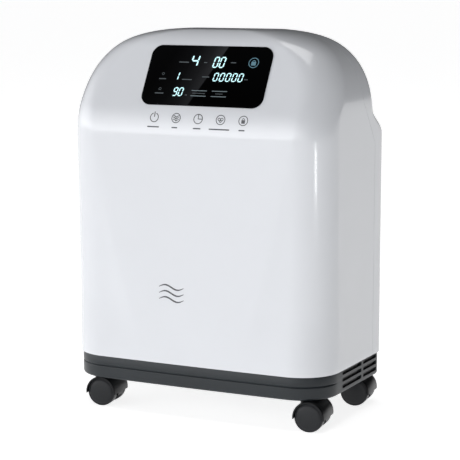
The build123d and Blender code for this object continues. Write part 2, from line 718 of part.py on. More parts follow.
tube([(PUMP_X + 61, -20, 195.2), (66, -48, 221), (85, -62, 243), (85, -50, 295),
      (TOWER_X - 24.2, -3, VALVE_Z + 11)], "feed_tube")
tube([(TANK_X, TANK_Y, PLATE_Z + PLATE_T + TANK_H + 12.2), (-122, -72, 217), (-100, -91, 240),
      (-60, -84, 261), (REG_X - 20.2, REG_Y, DECK_TOP + 20)], "product_tube")

CASTERS = [("fl", -STEM_X, -STEM_Y), ("fr", STEM_X, -STEM_Y),
           ("rl", -STEM_X, STEM_Y), ("rr", STEM_X, STEM_Y)]

with BuildPart() as caster_stems:
    with Locations(*[(x, y, STEM_Z0) for _, x, y in CASTERS]):
        Cylinder(STEM_R, STEM_TOP - STEM_Z0, align=UPWARD)
save(caster_stems.part, "caster_stems")


def hood_solid():
    """Hood in its own frame: stem on the Z axis, axle along Y at x = TRAIL."""
    with BuildPart() as hood:
        with BuildSketch(Plane.XZ.offset(-HOOD_HALF)):
            with Locations((TRAIL, WHEEL_R)):
                Circle(HOOD_OUT)
                Circle(HOOD_IN, mode=Mode.SUBTRACT)
            with Locations((TRAIL, 0)):
                Rectangle(80, 2 * (WHEEL_R - 2), mode=Mode.SUBTRACT)
        extrude(amount=2 * HOOD_HALF)
        with BuildSketch(Plane.XZ.offset(-WEB_HALF)):
            with Locations((TRAIL, WHEEL_R)):
                Circle(HOOD_OUT - 0.5)
            with Locations((TRAIL, 0)):
                Rectangle(80, 2 * (WHEEL_R - 7), mode=Mode.SUBTRACT)
        extrude(amount=2 * WEB_HALF)
        with Locations((0, 0, WHEEL_R - 7)):
            Cylinder(BOSS_R, HOOD_TOP - WHEEL_R + 7, align=UPWARD)
        with Locations((0, 0, STEM_Z0 - 1)):
            Cylinder(STEM_R + RUN_GAP, 60, mode=Mode.SUBTRACT,
                     align=UPWARD)
        with Locations((TRAIL, 0, WHEEL_R)):
            Cylinder(AXLE_R, 40, rotation=(90, 0, 0), mode=Mode.SUBTRACT)
    return hood.part


def axle_solid():
    with BuildPart() as axle:
        with Locations((TRAIL, 0, WHEEL_R)):
            Cylinder(AXLE_R, 2 * WHEEL_OUT - 4, rotation=(90, 0, 0))
    return axle.part


def wheel_solid(side):
    """Domed wheel on one side of the web, turned from a half profile."""
    top = 2 * WHEEL_R
    bore = WHEEL_R + AXLE_R + RUN_GAP
    rim = (WHEEL_OUT - DOME_H, WHEEL_R + DISC_R)
    bore_end = WHEEL_OUT - 1.8
    with BuildPart() as wheel:
        with BuildSketch(Plane.YZ.offset(TRAIL)):
            with BuildLine():
                Line((WHEEL_IN, bore), (WHEEL_IN, top - 1.5))
                ThreePointArc((WHEEL_IN, top - 1.5), (WHEEL_IN + 0.45, top - 0.45),
                              (WHEEL_IN + 1.5, top))
                Line((WHEEL_IN + 1.5, top), (WHEEL_OUT - 3.5, top))
                ThreePointArc((WHEEL_OUT - 3.5, top), (WHEEL_OUT - 2.0, top - 0.8), rim)
                RadiusArc(rim, (WHEEL_OUT, WHEEL_R), DOME_R)
                Polyline((WHEEL_OUT, WHEEL_R), (bore_end, WHEEL_R), (bore_end, bore), (WHEEL_IN, bore))
            make_face()
        revolve(axis=Axis((TRAIL, 0, WHEEL_R), (0, 1, 0)))
    return wheel.part if side > 0 else wheel.part.mirror(Plane.XZ)


HOOD = hood_solid()
AXLE = axle_solid()
WHEEL_NEAR = wheel_solid(-1)
WHEEL_FAR = wheel_solid(1)
for tag, x, y in CASTERS:
    place = Pos(x, y, 0) * Rot(0, 0, CASTER_TURN)
    save(place * HOOD, f"caster_hood_{tag}")
    save(place * AXLE, f"caster_axle_{tag}")
    save(place * WHEEL_NEAR, f"wheel_{tag}_near")
    save(place * WHEEL_FAR, f"wheel_{tag}_far")
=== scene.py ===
import json
import math

import bmesh
import bpy
from mathutils import Matrix, Vector


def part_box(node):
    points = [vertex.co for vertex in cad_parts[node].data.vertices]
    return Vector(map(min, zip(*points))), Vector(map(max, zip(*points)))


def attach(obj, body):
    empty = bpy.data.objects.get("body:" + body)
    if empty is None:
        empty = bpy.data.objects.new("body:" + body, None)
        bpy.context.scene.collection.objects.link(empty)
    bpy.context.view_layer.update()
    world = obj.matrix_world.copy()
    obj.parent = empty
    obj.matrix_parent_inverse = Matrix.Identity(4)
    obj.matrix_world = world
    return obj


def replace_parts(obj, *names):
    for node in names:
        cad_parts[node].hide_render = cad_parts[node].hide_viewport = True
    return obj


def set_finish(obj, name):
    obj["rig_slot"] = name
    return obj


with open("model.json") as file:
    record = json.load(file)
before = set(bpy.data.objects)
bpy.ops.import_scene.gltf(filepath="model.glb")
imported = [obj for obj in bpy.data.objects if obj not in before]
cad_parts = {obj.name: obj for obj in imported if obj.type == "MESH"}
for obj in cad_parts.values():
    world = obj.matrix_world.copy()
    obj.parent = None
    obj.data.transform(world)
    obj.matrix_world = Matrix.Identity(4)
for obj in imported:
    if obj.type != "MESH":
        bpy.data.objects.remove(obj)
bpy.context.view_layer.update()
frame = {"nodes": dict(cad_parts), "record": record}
MM = 0.001


# ---------------------------------------------------------------- sizes from the frame

def size_of(*nodes):
    """Lowest and highest corner around several CAD nodes, in millimetres."""
    boxes = [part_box(n) for n in nodes]
    low = [min(b[0][i] for b in boxes) / MM for i in range(3)]
    high = [max(b[1][i] for b in boxes) / MM for i in range(3)]
    return low, high


BODY_LOW, BODY_HIGH = size_of("front_housing", "rear_housing")
HALF_W = (BODY_HIGH[0] - BODY_LOW[0]) / 2
FRONT_Y = BODY_LOW[1]
BACK_Y = BODY_HIGH[1]
SHELL_Z0 = BODY_LOW[2]
CROWN = 1.0
BODY_TOP = BODY_HIGH[2] + CROWN
WALL = 3.0
FLANGE_IN = 10.0
BOW = 3.0
FOOT_CORNER_R = 54.0
HEAD_CORNER_R = 46.0
CORNER_Z = (71.0, 358.0)
REAR_CORNER_R = 26.0
BEND_Z = 367.0
BEND_R = 80.0
LEAN = math.radians(29.0)
PANEL_Z0 = BEND_Z + BEND_R * math.sin(LEAN)
PANEL_Y0 = FRONT_Y + BEND_R * (1 - math.cos(LEAN))
ARCH_Z = 395.0
ARCH_RISE = 2.4
ARCH_FALL = 4.0
FRONT_EDGE_R = 22.0
REAR_EDGE_R = 17.0
SHOULDER_Z = 366.0
SHOULDER_H = 34.0
SHOULDER_IN = 34.0
BACK_LEAN = math.radians(10.0)
SEAM = [(61.0, -10.0), (61.0, 355.0), (22.0, 410.0), (8.0, 515.0)]
SEAM_GAP = 0.5
LIP_R = 1.2

# How far cutting blocks reach past the body, and how far the half-body blocks go
REACH = 20.0
FAR_Y = 200.0


# ---------------------------------------------------------------- materials

def set_input(shader, name, value):
    shader.inputs[name].default_value = value


def material(name, color, rough=0.4, metal=0.0, mottle=0.04, grain=600.0, bump=0.05,
             rough_spread=0.06, coat=0.0, glow=0.0, spec=0.5, stretch=(1, 1, 1)):
    """Procedural surface: noise drives colour, roughness and a fine bump."""
    mat = bpy.data.materials.new(name)
    mat.use_nodes = True
    tree = mat.node_tree
    shader = tree.nodes["Principled BSDF"]
    coords = tree.nodes.new("ShaderNodeTexCoord")
    mapping = tree.nodes.new("ShaderNodeMapping")
    mapping.inputs["Scale"].default_value = stretch
    noise = tree.nodes.new("ShaderNodeTexNoise")
    noise.inputs["Scale"].default_value = grain
    noise.inputs["Detail"].default_value = 4.0
    cloud = tree.nodes.new("ShaderNodeTexNoise")
    cloud.inputs["Scale"].default_value = 14.0
    cloud.inputs["Detail"].default_value = 3.0
    ramp = tree.nodes.new("ShaderNodeValToRGB")
    ramp.color_ramp.elements[0].position = 0.3
    ramp.color_ramp.elements[1].position = 0.7
    ramp.color_ramp.elements[0].color = [c * (1 - mottle) for c in color] + [1]
    ramp.color_ramp.elements[1].color = [min(c * (1 + mottle), 1) for c in color] + [1]
    spread = tree.nodes.new("ShaderNodeMapRange")
    spread.inputs["To Min"].default_value = max(rough - rough_spread, 0.02)
    spread.inputs["To Max"].default_value = rough + rough_spread
    relief = tree.nodes.new("ShaderNodeBump")
    relief.inputs["Strength"].default_value = bump
    relief.inputs["Distance"].default_value = 0.0002
    link = tree.links.new
    link(coords.outputs["Object"], mapping.inputs["Vector"])
    link(mapping.outputs["Vector"], noise.inputs["Vector"])
    link(coords.outputs["Object"], cloud.inputs["Vector"])
    link(cloud.outputs["Fac"], ramp.inputs["Fac"])
    link(ramp.outputs["Color"], shader.inputs["Base Color"])
    link(noise.outputs["Fac"], spread.inputs["Value"])
    link(spread.outputs["Result"], shader.inputs["Roughness"])
    link(noise.outputs["Fac"], relief.inputs["Height"])
    link(relief.outputs["Normal"], shader.inputs["Normal"])
    set_input(shader, "Metallic", metal)
    set_input(shader, "Specular IOR Level", spec)
    set_input(shader, "Coat Weight", coat)
    set_input(shader, "Coat Roughness", 0.08)
    if glow:
        link(ramp.outputs["Color"], shader.inputs["Emission Color"])
        set_input(shader, "Emission Strength", glow)
    return mat


def window_painted_reflection_material():
    """Black glass with a painted reflection: a soft diagonal sheen painted into its colour,
    brightest at the diagonal edge and dimmer towards the bottom.
    """
    mat = material("window_black", (0.002, 0.002, 0.0025), rough=0.16, rough_spread=0.02,
                   bump=0.01, mottle=0.1, spec=0.015)
    tree = mat.node_tree
    link = tree.links.new
    coords = tree.nodes.new("ShaderNodeTexCoord")
    split = tree.nodes.new("ShaderNodeSeparateXYZ")
    slant = tree.nodes.new("ShaderNodeMath")
    slant.operation = "MULTIPLY_ADD"
    slant.inputs[1].default_value = -0.231
    ramp = tree.nodes.new("ShaderNodeValToRGB")
    # Painted reflection: the colour rises towards the diagonal edge, then drops to black just past
    # it.
    painted_reflection_stops = ((0.0, 0.0022), (0.18, 0.0050), (0.30, 0.0125), (0.394, 0.027), (0.402, 0.0016))
    for i, (place, level) in enumerate(painted_reflection_stops):
        stop = ramp.color_ramp.elements[i] if i < 2 else ramp.color_ramp.elements.new(place)
        stop.position = place
        stop.color = (level, level * 1.03, level * 1.12, 1)
    # Painted reflection, dimmer towards the bottom of the window.
    fade = tree.nodes.new("ShaderNodeMapRange")
    fade.inputs["To Min"].default_value = 0.5
    fade.inputs["To Max"].default_value = 1.1
    mix = tree.nodes.new("ShaderNodeVectorMath")
    mix.operation = "SCALE"
    link(coords.outputs["Generated"], split.inputs["Vector"])
    link(split.outputs["Z"], slant.inputs[0])
    link(split.outputs["X"], slant.inputs[2])
    link(slant.outputs["Value"], ramp.inputs["Fac"])
    link(split.outputs["Z"], fade.inputs["Value"])
    link(ramp.outputs["Color"], mix.inputs["Vector"])
    link(fade.outputs["Result"], mix.inputs["Scale"])
    link(mix.outputs["Vector"], tree.nodes["Principled BSDF"].inputs["Base Color"])
    return mat


MATERIALS = {
    "shell_white": material("shell_white", (0.675, 0.69, 0.72), rough=0.20, rough_spread=0.03,
                            mottle=0.006, grain=900, bump=0.015, coat=0.35),
    "tray_charcoal": material("tray_charcoal", (0.019, 0.023, 0.0265), rough=0.36,
                              mottle=0.08, grain=1500, bump=0.2, spec=0.3),
    "window_black": window_painted_reflection_material(),
    "digit_cyan": material("digit_cyan", (0.50, 0.78, 0.82), rough=0.4, glow=0.75, mottle=0.05),
    "symbol_grey": material("symbol_grey", (0.075, 0.077, 0.085), rough=0.5, mottle=0.1),
    "board_green": material("board_green", (0.03, 0.17, 0.08), rough=0.35, mottle=0.2, grain=300),
    "caster_black": material("caster_black", (0.008, 0.0085, 0.0095), rough=0.34, mottle=0.12,
                             grain=1300, bump=0.15, spec=0.2),
    "wheel_black": material("wheel_black", (0.012, 0.013, 0.015), rough=0.38, mottle=0.12,
                            grain=1300, bump=0.15, spec=0.25),
    "steel": material("steel", (0.58, 0.58, 0.57), rough=0.28, metal=1.0, grain=500,
                      stretch=(1, 1, 12)),
    "zinc_plate": material("zinc_plate", (0.55, 0.56, 0.57), rough=0.4, metal=0.9, mottle=0.15),
    "aluminium": material("aluminium", (0.72, 0.73, 0.75), rough=0.33, metal=1.0, grain=700,
                          stretch=(8, 1, 1)),
    "rubber": material("rubber", (0.02, 0.02, 0.02), rough=0.75, mottle=0.15, bump=0.3),
    "zeolite": material("zeolite", (0.72, 0.66, 0.55), rough=0.9, mottle=0.2, grain=900, bump=1.0),
    "inner_white": material("inner_white", (0.68, 0.68, 0.67), rough=0.5),
    "inner_black": material("inner_black", (0.012, 0.012, 0.013), rough=0.5, mottle=0.1,
                            grain=1300, bump=0.2),
    "silicone": material("silicone", (0.72, 0.73, 0.71), rough=0.45, mottle=0.06),
    "foam": material("foam", (0.02, 0.02, 0.021), rough=0.95, grain=1100, bump=1.0, mottle=0.3),
    "pin_brass": material("pin_brass", (0.74, 0.56, 0.24), rough=0.25, metal=1.0),
    "winding": material("winding", (0.33, 0.16, 0.07), rough=0.4, mottle=0.2, grain=400,
                        bump=0.4, stretch=(1, 1, 10)),
}

for entry in frame["record"]["subparts"]:
    node = frame["nodes"][entry["node"]]
    node.data.materials.clear()
    node.data.materials.append(MATERIALS[entry["material_slot"]])


# ---------------------------------------------------------------- mesh helpers

RECORD_SLOTS = [m["slot"] for m in frame["record"]["materials"]]
SPARE_SLOT = "symbol_grey"
SMOOTH_ANGLE = 35.0


def new_object(name, verts, faces, slot, smooth_angle=SMOOTH_ANGLE):
    """Mesh object from points in millimetres, with consistent outward normals."""
    mesh = bpy.data.meshes.new(name)
    mesh.from_pydata([Vector(v) * MM for v in verts], [], faces)
    bm = bmesh.new()
    bm.from_mesh(mesh)
    bmesh.ops.remove_doubles(bm, verts=bm.verts, dist=1e-6)
    bmesh.ops.recalc_face_normals(bm, faces=bm.faces)
    bm.to_mesh(mesh)
    bm.free()
    obj = bpy.data.objects.new(name, mesh)
    bpy.context.scene.collection.objects.link(obj)
    mesh.materials.append(MATERIALS[slot])
    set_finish(obj, slot if slot in RECORD_SLOTS else SPARE_SLOT)
    smooth(obj, smooth_angle)
    return obj


def smooth(obj, angle=SMOOTH_ANGLE):
    obj.data.polygons.foreach_set("use_smooth", [True] * len(obj.data.polygons))
    obj.data.set_sharp_from_angle(angle=math.radians(angle))


def bake_modifiers(obj):
    """Replaces the mesh by the evaluated one and drops the modifiers."""
    bpy.context.view_layer.update()
    graph = bpy.context.evaluated_depsgraph_get()
    mesh = bpy.data.meshes.new_from_object(obj.evaluated_get(graph))
    obj.modifiers.clear()
    obj.data = mesh


def cut(obj, cutter):
    """Takes the cutter's volume out of the object."""
    mod = obj.modifiers.new("cut", "BOOLEAN")
    mod.operation = "DIFFERENCE"
    mod.solver = "EXACT"
    mod.object = cutter
    bake_modifiers(obj)
    bpy.data.objects.remove(cutter)


def bevel(obj, width):
    """Rounds every edge sharper than 40 degrees."""
    mod = obj.modifiers.new("bevel", "BEVEL")
    mod.width = width * MM
    mod.segments = 3
    mod.limit_method = "ANGLE"
    mod.angle_limit = math.radians(40.0)
    bake_modifiers(obj)
    smooth(obj, 50)


def loft_faces(rings, count):
    """Quads between closed rings of the same number of points."""
    faces = []
    for r in range(rings - 1):
        for i in range(count):
            j = (i + 1) % count
            a = r * count
            b = (r + 1) * count
            faces.append((a + i, a + j, b + j, b + i))
    return faces


def prism(name, outline, low, high, axis, slot="inner_black"):
    """Outline of 2-D points pushed from low to high along x, y or z."""
    def place(p, h):
        return {"x": (h, p[0], p[1]), "y": (p[0], h, p[1]), "z": (p[0], p[1], h)}[axis]
    verts = [place(p, low) for p in outline] + [place(p, high) for p in outline]
    n = len(outline)
    faces = [tuple(range(n)), tuple(range(n, 2 * n))]
    faces += [(i, (i + 1) % n, n + (i + 1) % n, n + i) for i in range(n)]
    return new_object(name, verts, faces, slot)


def rounded_rect(cx, cy, w, h, r, steps=6):
    points = []
    for qx, qy, start in ((1, 1, 0), (-1, 1, 90), (-1, -1, 180), (1, -1, 270)):
        for i in range(steps + 1):
            a = math.radians(start + 90 * i / steps)
            points.append((cx + qx * (w / 2 - r) + r * math.cos(a),
                           cy + qy * (h / 2 - r) + r * math.sin(a)))
    return points


def joined(name, objects):
    """Joins several pieces into one object."""
    bm = bmesh.new()
    for obj in objects:
        bm.from_mesh(obj.data)
    mesh = bpy.data.meshes.new(name)
    bm.to_mesh(mesh)
    bm.free()
    mesh.materials.append(objects[0].data.materials[0])
    result = bpy.data.objects.new(name, mesh)
    bpy.context.scene.collection.objects.link(result)
    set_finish(result, objects[0]["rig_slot"])
    for obj in objects:
        bpy.data.objects.remove(obj)
    smooth(result)
    return result


# ---------------------------------------------------------------- body form

def ease(t):
    t = min(max(t, 0.0), 1.0)
    return t * t * (3 - 2 * t)


def pulled_in(z, radius):
    t = min(max(z - (BODY_TOP - radius), 0.0) / radius, 1.0)
    return radius * (1 - math.sqrt(1 - t * t))


def front_y(z):
    if z <= BEND_Z:
        return FRONT_Y
    if z <= PANEL_Z0:
        return FRONT_Y + BEND_R - math.sqrt(BEND_R ** 2 - (z - BEND_Z) ** 2)
    return PANEL_Y0 + (z - PANEL_Z0) * math.tan(LEAN) + pulled_in(z, FRONT_EDGE_R)


def back_y(z):
    step = SHOULDER_IN * ease((z - SHOULDER_Z) / SHOULDER_H)
    slope = math.tan(BACK_LEAN) * max(z - SHOULDER_Z - SHOULDER_H, 0.0)
    return BACK_Y - step - slope - pulled_in(z, REAR_EDGE_R)


def half_width(z):
    t = min(max((z - ARCH_Z) / (BODY_TOP - ARCH_Z), 0.0), 1.0)
    return HALF_W * (1 - t ** ARCH_RISE) ** (1 / ARCH_FALL)


def front_corner(z):
    """Plan radius of the front corners, a little wider at the foot than at the head."""
    low, high = CORNER_Z
    t = min(max((z - low) / (high - low), 0.0), 1.0)
    return FOOT_CORNER_R + (HEAD_CORNER_R - FOOT_CORNER_R) * t


# The front is a shield: outside this line, x at height z, it turns gently towards the sides.
# Foot and head are (height, half width); above the head the line closes in a little.
SHIELD_FOOT = (95.0, 66.0)
SHIELD_HEAD = (431.0, 155.5)
SHIELD_BEND = 0.66
SHIELD_CLOSE_Z = (455.0, 489.0)
SHIELD_CLOSE = 11.5
SHIELD_SOFT = 1.5
SHIELD_DEPTH = 6.0
SHIELD_SLOPE = 0.16
SHIELD_RISE = (83, 70)
SHIELD_FADE = (395, 60, 0.4)


def shield_x(z):
    """Half width of the shield: it opens fast at the foot and more slowly further up."""
    z0, x0 = SHIELD_FOOT
    z1, x1 = SHIELD_HEAD
    low, high = SHIELD_CLOSE_Z
    t = min(max((z - z0) / (z1 - z0), 0.0), 1.0)
    return x0 + (x1 - x0) * t ** SHIELD_BEND - SHIELD_CLOSE * ease((z - low) / (high - low))


def shield_step(x, z):
    """How far the front surface lies back of the plain form, outside the shield line."""
    over = abs(x) - shield_x(z)
    ramp = SHIELD_SOFT * math.log1p(math.exp(min(over / SHIELD_SOFT, 40)))
    rise_z, rise_h = SHIELD_RISE
    fade_z, fade_h, fade = SHIELD_FADE
    strength = ease((z - rise_z) / rise_h) * (1 - fade * ease((z - fade_z) / fade_h))
    return strength * SHIELD_DEPTH * (1 - math.exp(-SHIELD_SLOPE * ramp / SHIELD_DEPTH))


# Points along each stretch of the plan ring, from the middle of the front round to the back
FRONT_STEPS = 30
FRONT_ARC_STEPS = 24
SIDE_STEPS = 16
REAR_STEPS = 12


def body_ring(z, inset=0.0, sculpt=False):
    """Closed ring of points around the body at height z."""
    w = max(half_width(z) - inset, 0.8)
    f = front_y(z) + inset
    b = back_y(z) - inset
    depth = b - f
    rf = min(front_corner(z) - min(inset, 10), depth * 0.55, w * 0.7)
    rb = min(REAR_CORNER_R - inset, depth * 0.3, w * 0.25)
    bow = BOW * (w / HALF_W) ** 2
    bow_end = bow * ((w - rf) / w) ** 2
    right = []
    for i in range(FRONT_STEPS):
        x = (w - rf) * i / FRONT_STEPS
        right.append((x, f + bow * (x / w) ** 2, 1.0))
    for i in range(FRONT_ARC_STEPS + 1):
        a = math.pi / 2 * i / FRONT_ARC_STEPS
        right.append((w - rf + rf * math.sin(a), f + bow_end + rf * (1 - math.cos(a)),
                      math.cos(a)))
    y0 = f + bow_end + rf
    for i in range(1, SIDE_STEPS):
        right.append((w, y0 + (b - rb - y0) * i / SIDE_STEPS, 0.0))
    for i in range(REAR_STEPS + 1):
        a = math.pi / 2 * i / REAR_STEPS
        right.append((w - rb + rb * math.cos(a), b - rb + rb * math.sin(a), 0.0))
    for i in range(1, REAR_STEPS):
        right.append(((w - rb) * (1 - i / REAR_STEPS), b, 0.0))
    ring = right + [(0.0, b, 0.0)] + [(-x, y, k) for x, y, k in reversed(right[1:])]
    if sculpt:
        ring = [(x, y + shield_step(x, z) * k, k) for x, y, k in ring]
    return [(x, y) for x, y, _ in ring]


def body_levels(z0):
    """Heights of the rings: close together at the lip, over the bend and towards the crown."""
    levels = [z0 + LIP_R * (1 - math.cos(math.pi / 2 * i / 6)) for i in range(6)]
    levels += [z0 + LIP_R + (BEND_Z - 20 - z0 - LIP_R) * i / 50 for i in range(50)]
    levels += [BEND_Z - 20 + (ARCH_Z - BEND_Z + 20) * i / 40 for i in range(40)]
    head = BODY_TOP - CROWN - ARCH_Z
    levels += [ARCH_Z + head * i / 50 for i in range(25)]
    for i in range(46):
        w = math.cos(math.radians(18.4 + 70.1 * i / 45))
        levels.append(ARCH_Z + head * (1 - w ** ARCH_FALL) ** (1 / ARCH_RISE))
    return levels


def body_solid(name, inset, z0, sculpt):
    """Closed solid of the body form."""
    verts = []
    levels = body_levels(z0)
    squeeze = (BODY_TOP - CROWN - inset - ARCH_Z) / (BODY_TOP - CROWN - ARCH_Z)
    for z in levels:
        height = z if z < ARCH_Z else ARCH_Z + (z - ARCH_Z) * squeeze
        rise = min((z - SHELL_Z0) / LIP_R, 1.0)
        lip = LIP_R * (1 - math.sqrt(1 - (1 - rise) ** 2))
        verts += [(x, y, height) for x, y in body_ring(z, inset + lip, sculpt)]
    count = len(verts) // len(levels)
    faces = loft_faces(len(levels), count)
    faces.append(tuple(range(count)))
    faces.append(tuple(range((len(levels) - 1) * count, len(levels) * count)))
    return new_object(name, verts, faces, "shell_white")


def half_block(name, shift, far_y):
    seam = [(y + shift, z) for y, z in SEAM]
    outline = seam + [(far_y, SEAM[-1][1]), (far_y, SEAM[0][1])]
    return prism(name, outline, -HALF_W - REACH, HALF_W + REACH, "x")


def panel_point(u, v, lift):
    """Point on the leaning panel: u across, v up the slope, lift outward."""
    return (u, PANEL_Y0 + v * math.sin(LEAN) - lift * math.cos(LEAN),
            PANEL_Z0 + v * math.cos(LEAN) + lift * math.sin(LEAN))


def housing(name, node, shift, far_y, cutters):
    """One half of the white shell, hollow, with its openings."""
    shell = body_solid(name, 0.0, SHELL_Z0, True)
    cut(shell, body_solid("hollow", WALL, SHELL_Z0 + WALL, True))
    cut(shell, prism("floor_opening", body_ring(SHELL_Z0, FLANGE_IN), SHELL_Z0 - 2,
                     SHELL_Z0 + WALL + 2, "z"))
    cut(shell, half_block("half", shift, far_y))
    for cutter in cutters:
        cut(shell, cutter)
    shell.data.materials.clear()
    shell.data.materials.append(MATERIALS["shell_white"])
    smooth(shell, 32)
    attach(shell, "body")
    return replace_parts(shell, node)


def box_cutter(name, low, high, r=2.0):
    """Rounded opening through the rear wall between two CAD corners."""
    cx = (low[0] + high[0]) / 2
    cz = (low[2] + high[2]) / 2
    outline = rounded_rect(cx, cz, high[0] - low[0], high[2] - low[2], r)
    return prism(name, outline, BACK_Y - REACH, BACK_Y + REACH, "y")


EXHAUST_ZS = (91, 101, 111, 121)
EXHAUST_X = 60
EXHAUST_W = 110
EXHAUST_H = 5
EXHAUST_R = 2.4
COVER_GAP = 0.5
BEZEL_LAP = 2
OUTLET_HOLE_R = 9.2


def rear_cutters():
    """Cutting blocks for the filter, mains inlet, switch, outlet and exhaust slots."""
    cover_low, cover_high = size_of("filter_cover")
    cover = box_cutter("cover_hole", [v - COVER_GAP for v in cover_low],
                       [v + COVER_GAP for v in cover_high])
    inlet_low, inlet_high = size_of("power_inlet")
    switch_low, switch_high = size_of("switch_frame")
    inlet = box_cutter("inlet_hole", [v + BEZEL_LAP for v in inlet_low],
                       [v - BEZEL_LAP for v in inlet_high])
    switch = box_cutter("switch_hole", [v + BEZEL_LAP for v in switch_low],
                        [v - BEZEL_LAP for v in switch_high])
    slots = [prism("slot", rounded_rect(EXHAUST_X, z, EXHAUST_W, EXHAUST_H, EXHAUST_R),
                   BACK_Y - REACH, BACK_Y + REACH, "y") for z in EXHAUST_ZS]
    outlet_low, outlet_high = size_of("oxygen_outlet")
    cx = (outlet_low[0] + outlet_high[0]) / 2
    cz = (outlet_low[2] + outlet_high[2]) / 2
    hole = [(cx + OUTLET_HOLE_R * math.cos(a), cz + OUTLET_HOLE_R * math.sin(a))
            for a in [math.tau * i / 32 for i in range(32)]]
    outlet = prism("outlet_hole", hole, outlet_low[1] - 2, outlet_high[1], "y")
    return [cover, inlet, switch, outlet] + slots


housing("front_shell", "front_housing", -SEAM_GAP / 2, FAR_Y, [])
housing("rear_shell", "rear_housing", SEAM_GAP / 2, -FAR_Y, rear_cutters())


# ---------------------------------------------------------------- display

LENS_LOW, LENS_HIGH = size_of("display_lens")
WINDOW_W = LENS_HIGH[0] - LENS_LOW[0]
WINDOW_H = (LENS_HIGH[2] - LENS_LOW[2] - 2 * math.sin(LEAN)) / math.cos(LEAN)
WINDOW_X = (LENS_LOW[0] + LENS_HIGH[0]) / 2
WINDOW_V = ((LENS_LOW[2] + LENS_HIGH[2]) / 2 + math.sin(LEAN) - PANEL_Z0) / math.cos(LEAN)
WINDOW_R = 14.5
LENS_LIFT = 0.7
LENS_SINK = 1.6
LENS_EDGE = 0.5
INK = 0.12
PRINT_ANGLE = 80


def panel_plate(name, outline, low, high, slot):
    """Flat plate on the leaning panel between two lifts."""
    verts = [panel_point(u, v, low) for u, v in outline]
    verts += [panel_point(u, v, high) for u, v in outline]
    n = len(outline)
    faces = [tuple(range(n)), tuple(range(n, 2 * n))]
    faces += [(i, (i + 1) % n, n + (i + 1) % n, n + i) for i in range(n)]
    return new_object(name, verts, faces, slot)


def display_window():
    outline = rounded_rect(WINDOW_X, WINDOW_V, WINDOW_W, WINDOW_H, WINDOW_R, 14)
    lens = panel_plate("display_window", outline, -LENS_SINK, LENS_LIFT, "window_black")
    bevel(lens, LENS_EDGE)
    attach(lens, "body")
    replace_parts(lens, "display_lens")


SEGMENTS = {"0": "abcdef", "1": "bc", "4": "bcfg", "9": "abcdfg"}
SLANT = 0.14


def segment_shapes(text, x, v, height, width, stroke):
    """Six-cornered bars of one seven-segment digit, leaning to the right."""
    half = height / 2
    wide = width / 2
    reach = stroke / 2
    gap = stroke * 0.18

    def across(cy):
        return [(-wide + gap, cy), (-wide + gap + reach, cy + reach),
                (wide - gap - reach, cy + reach), (wide - gap, cy),
                (wide - gap - reach, cy - reach), (-wide + gap + reach, cy - reach)]

    def upright(cx, low, high):
        return [(cx, low + gap), (cx + reach, low + gap + reach),
                (cx + reach, high - gap - reach), (cx, high - gap),
                (cx - reach, high - gap - reach), (cx - reach, low + gap + reach)]

    bars = {"a": across(half), "g": across(0.0), "d": across(-half),
            "b": upright(wide, 0.0, half), "c": upright(wide, -half, 0.0),
            "e": upright(-wide, -half, 0.0), "f": upright(-wide, 0.0, half)}
    shapes = [bars[k] for k in SEGMENTS[text]]
    return [[(x + px + SLANT * py, v + py) for px, py in shape] for shape in shapes]


# Rows of the display: slope offset, digit height, width, stroke, and (x, digit) pairs
ROWS = [
    (20.7, 15.0, 8.8, 2.0, [(-21.0, "4")]),
    (19.3, 14.0, 5.9, 1.7, [(9.6, "0"), (18.5, "0")]),
    (-1.4, 10.8, 5.3, 1.45, [(-42.2, "1")] + [(14.0 + 8.8 * i, "0") for i in range(5)]),
    (-23.6, 11.0, 5.0, 1.45, [(-38.7, "9"), (-31.0, "0")]),
]

# Plain bars in place of the captions: x, slope offset, length, thickness
CAPTIONS = [
    (-36.7, 18.4, 14.5, 1.5), (-5.5, 18.5, 5.0, 1.3), (34.0, 19.3, 8.0, 1.3),
    (-62.0, -5.9, 10.5, 1.5), (-26.6, -6.1, 14.5, 1.3), (-0.5, -1.7, 10.5, 1.5),
    (57.1, -3.9, 5.5, 1.2), (-61.9, -26.3, 13.0, 1.6), (-22.6, -27.8, 3.4, 1.3),
    (-4.8, -24.9, 18.0, 0.9), (24.1, -24.9, 11.0, 0.9),
]
RULES = [(x, v, 22.0, 1.1) for x in (-4.8, 24.1) for v in (-21.2, -28.6)]
DROPS = [(-62.7, 1.2), (-62.1, -20.2)]
LOCK_X = 62.5
LOCK_V = 19.9


def bar(x, v, length, thick):
    return rounded_rect(x, v, length, thick, thick * 0.48, 3)


def ring_shape(x, v, radius, line, start=0.0, end=360.0, steps=40):
    """Outer and inner edge points of an arc of a ring."""
    outer = []
    inner = []
    for i in range(steps + 1):
        a = math.radians(start + (end - start) * i / steps)
        outer.append((x + radius * math.cos(a), v + radius * math.sin(a)))
        inner.append((x + (radius - line) * math.cos(a), v + (radius - line) * math.sin(a)))
    return outer, inner


def flat_faces(shapes, rings, place):
    """Vertices and faces of filled shapes and ring arcs laid on a surface by place(x, v)."""
    verts = []
    faces = []
    for shape in shapes:
        start = len(verts)
        verts += [place(x, v) for x, v in shape]
        faces.append(tuple(range(start, len(verts))))
    for outer, inner in rings:
        start = len(verts)
        n = len(outer)
        verts += [place(x, v) for x, v in outer] + [place(x, v) for x, v in inner]
        faces += [(start + i, start + i + 1, start + n + i + 1, start + n + i)
                  for i in range(n - 1)]
    return verts, faces


